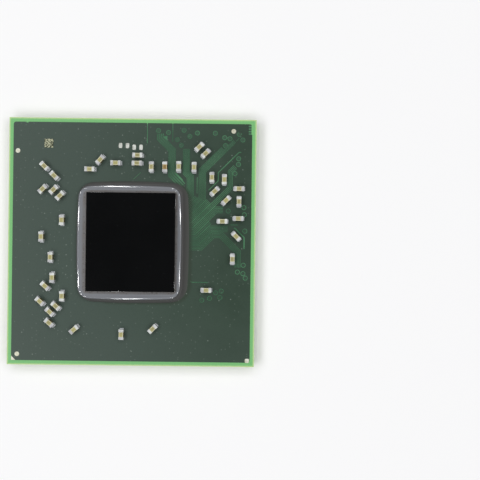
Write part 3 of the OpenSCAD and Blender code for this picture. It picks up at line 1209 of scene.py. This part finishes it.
@dataclass
class BallField:
    """Solder balls: a regular mesh for every ball of the CAD nodes."""

    nodes: dict[str, bpy.types.Object]
    groups: tuple[str, ...] = ("corner", "edge", "line", "band", "block", "core")
    radius: float = 0.22 * MM
    segments: int = 18
    rings: int = 9

    # Points this little above the lowest one are balls' lowest points too.
    FOOT = 1e-8
    # The number of decimals to which two balls' places have to differ.
    DECIMALS = 7

    def _centres(self, piece: bpy.types.Object) -> list[tuple[float, float]]:
        """Finds each ball's middle from its lowest point.

        Args:
            piece: A CAD piece that holds balls.

        Returns:
            X and Y of each ball, in order.
        """
        low = min(v.co.z for v in piece.data.vertices)
        found = {
            (round(v.co.x, self.DECIMALS), round(v.co.y, self.DECIMALS))
            for v in piece.data.vertices
            if v.co.z < low + self.FOOT
        }
        return sorted(found)

    def _profile(self, standoff: float) -> list[tuple[float, float]]:
        """Finds the rings of a ball that is cut flat at its pad.

        Args:
            standoff: The ball's height.

        Returns:
            Radius and height of each ring, from the lowest point to the flat top.
        """
        top = math.acos((standoff - self.radius) / self.radius)
        angles = [(math.pi - top) * ring / self.rings for ring in range(1, self.rings + 1)]
        return [
            (self.radius * math.sin(angle), self.radius - self.radius * math.cos(angle))
            for angle in angles
        ]

    def build(self) -> None:
        """Makes one piece for each group of balls."""
        finish = BALL.material("solder_ball")
        for group in self.groups:
            node = f"solder_balls_{group}"
            low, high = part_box(node)
            rings = self._profile(high.z - low.z)
            verts: list[Point] = []
            faces: list[Sequence[int]] = []
            for x, y in self._centres(self.nodes[node]):
                self._ball(verts, faces, (x, y, low.z), rings)
            piece = new_piece(f"ball_{group}_field", verts, faces)
            dress(piece, finish)
            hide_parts(node)

    def _ball(
        self,
        verts: list[Point],
        faces: list[Sequence[int]],
        foot: Point,
        rings: list[tuple[float, float]],
    ) -> None:
        """Adds one ball.

        Args:
            verts: The points so far, which get the ball's.
            faces: The faces so far, which get the ball's.
            foot: The ball's lowest point.
            rings: Radius and height of each ring above it.
        """
        x, y, z = foot
        start = len(verts)
        count = self.segments
        verts.append(foot)
        for radius, rise in rings:
            for step in range(count):
                turn = math.tau * step / count
                verts.append((x + radius * math.cos(turn), y + radius * math.sin(turn), z + rise))
        for step in range(count):
            after = (step + 1) % count
            faces.append((start, start + 1 + after, start + 1 + step))
            for ring in range(len(rings) - 1):
                low = start + 1 + ring * count
                high = low + count
                faces.append((low + step, low + after, high + after, high + step))
        top = start + 1 + (len(rings) - 1) * count
        faces.append(tuple(top + step for step in range(count)))


# Studio


@dataclass(frozen=True)
class Lamp:
    """A small upright light aimed at the part, placed by its angles and distance."""

    name: str
    azimuth: float
    elevation: float = 48.0
    power: float = 0.146
    width: float = 0.008
    height: float = 0.15
    distance: float = 0.5

    def build(self) -> None:
        """Makes the light."""
        data = bpy.data.lights.new(self.name, "AREA")
        data.shape = "RECTANGLE"
        data.energy = self.power
        data.size = self.width
        data.size_y = self.height
        light = bpy.data.objects.new(self.name, data)
        around, up = math.radians(self.azimuth), math.radians(self.elevation)
        level = Vector((math.cos(around), math.sin(around), 0)) * math.cos(up)
        way = level + Vector((0, 0, math.sin(up)))
        light.location = way * self.distance
        light.rotation_euler = way.to_track_quat("Z", "Y").to_euler()
        bpy.context.scene.collection.objects.link(light)


@dataclass
class Studio:
    """The floor, the world's light, the ring of lamps and the camera.

    The world is dim at the horizon, bright higher up and dark overhead, so that a level
    mirror stays dark. sky and zenith are the spans of a direction's Z over which it changes.
    """

    surface: float
    floor_half: float = 0.25
    floor_drop: float = 0.002 * MM
    paper: Colour = (0.97, 0.97, 0.97)
    paper_roughness: float = 0.9
    sky: Span = (0.1, 0.75)
    zenith: Span = (0.935, 0.975)
    horizon_light: Colour = (0.1, 0.1, 0.1)
    sky_light: Colour = (0.38, 0.38, 0.39)
    zenith_light: Colour = (0.015, 0.015, 0.017)
    backdrop: Colour = (0.93, 0.93, 0.93)
    view_width: float = 48.5 * MM
    lens: float = 50.0
    sensor: float = 36.0
    nearest: float = 0.001
    aim: tuple[float, float] = (10.95 * MM, 0.215 * MM)
    roll: float = 0.68
    lamps: tuple[Lamp, ...] = (
        Lamp("left_high_lamp", 175.8),
        Lamp("left_low_lamp", 187.5),
        Lamp("back_left_a_lamp", 158.0),
        Lamp("back_left_b_lamp", 129.8),
        Lamp("back_lamp", 106.5),
        Lamp("back_right_a_lamp", 82.2),
        Lamp("back_right_b_lamp", 58.0),
        Lamp("back_right_c_lamp", 28.0),
        Lamp("right_high_lamp", 5.2),
        Lamp("right_low_lamp", 352.8),
        Lamp("front_right_a_lamp", 320.5),
        Lamp("front_right_b_lamp", 277.8),
        Lamp("front_lamp", 256.0),
        Lamp("front_left_a_lamp", 231.2),
        Lamp("front_left_b_lamp", 216.5),
        Lamp("front_left_c_lamp", 204.5),
    )

    def build(self) -> None:
        """Makes everything round the part."""
        self._floor()
        self._world()
        for lamp in self.lamps:
            lamp.build()
        self._camera()
        bpy.context.scene.view_settings.view_transform = "Standard"

    def _floor(self) -> None:
        """Lays the pale floor just below the balls."""
        half = self.floor_half
        mesh = bpy.data.meshes.new("floor")
        corners = [(-half, -half, 0), (half, -half, 0), (half, half, 0), (-half, half, 0)]
        mesh.from_pydata(corners, [], [(0, 1, 2, 3)])
        floor = bpy.data.objects.new("floor", mesh)
        floor.location.z = -self.floor_drop
        bpy.context.scene.collection.objects.link(floor)
        paper = Material("floor_paper", self.paper_roughness)
        paper.shader.inputs["Base Color"].default_value = (*self.paper, 1)
        mesh.materials.append(paper.block)

    def _world(self) -> None:
        """Lights the world, which the camera sees as an even backdrop."""
        world = bpy.data.worlds.new("studio")
        world.use_nodes = True
        bpy.context.scene.world = world
        graph = Graph(world.node_tree)
        way = graph.add("ShaderNodeTexCoord").outputs["Generated"]
        up = graph.add("ShaderNodeSeparateXYZ", {0: way}).outputs["Z"]
        low = graph.mix(graph.ramp(up, *self.sky), self.horizon_light, self.sky_light)
        light = graph.mix(graph.ramp(up, *self.zenith), low, self.zenith_light)
        seen = graph.add("ShaderNodeLightPath").outputs["Is Camera Ray"]
        colour = graph.mix(seen, light, self.backdrop)
        graph.tree.links.new(colour, world.node_tree.nodes["Background"].inputs["Color"])

    def _camera(self) -> None:
        """Hangs the camera straight above the place that it aims at."""
        data = bpy.data.cameras.new("camera")
        data.lens = self.lens
        data.sensor_width = self.sensor
        data.clip_start = self.nearest
        camera = bpy.data.objects.new("camera", data)
        turn = math.radians(self.roll)
        across = Vector((math.cos(turn), math.sin(turn)))
        upward = Vector((-math.sin(turn), math.cos(turn)))
        spot = across * self.aim[0] + upward * self.aim[1]
        away = self.view_width / 2 * self.lens / (self.sensor / 2)
        camera.location = (spot.x, spot.y, self.surface + away)
        camera.rotation_euler = (0, 0, turn)
        bpy.context.scene.collection.objects.link(camera)
        bpy.context.scene.camera = camera


def main() -> None:
    """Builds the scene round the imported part."""
    logging.basicConfig(level=logging.INFO)
    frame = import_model()
    nodes = frame["nodes"]
    make_effects()
    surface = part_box("top_copper")[1].z
    for name, assembly in (
        ("substrate", Substrate(nodes)),
        ("die", Die(nodes["silicon_die"])),
        ("resin bead", ResinBead(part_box("silicon_die"), surface)),
        ("capacitors", Capacitors(nodes)),
        ("pads and marks", PadsAndMarks(nodes)),
        ("ball field", BallField(nodes)),
        ("studio", Studio(surface)),
    ):
        assembly.build()
        LOG.info("built the %s", name)


if __name__ == "__main__":
    main()
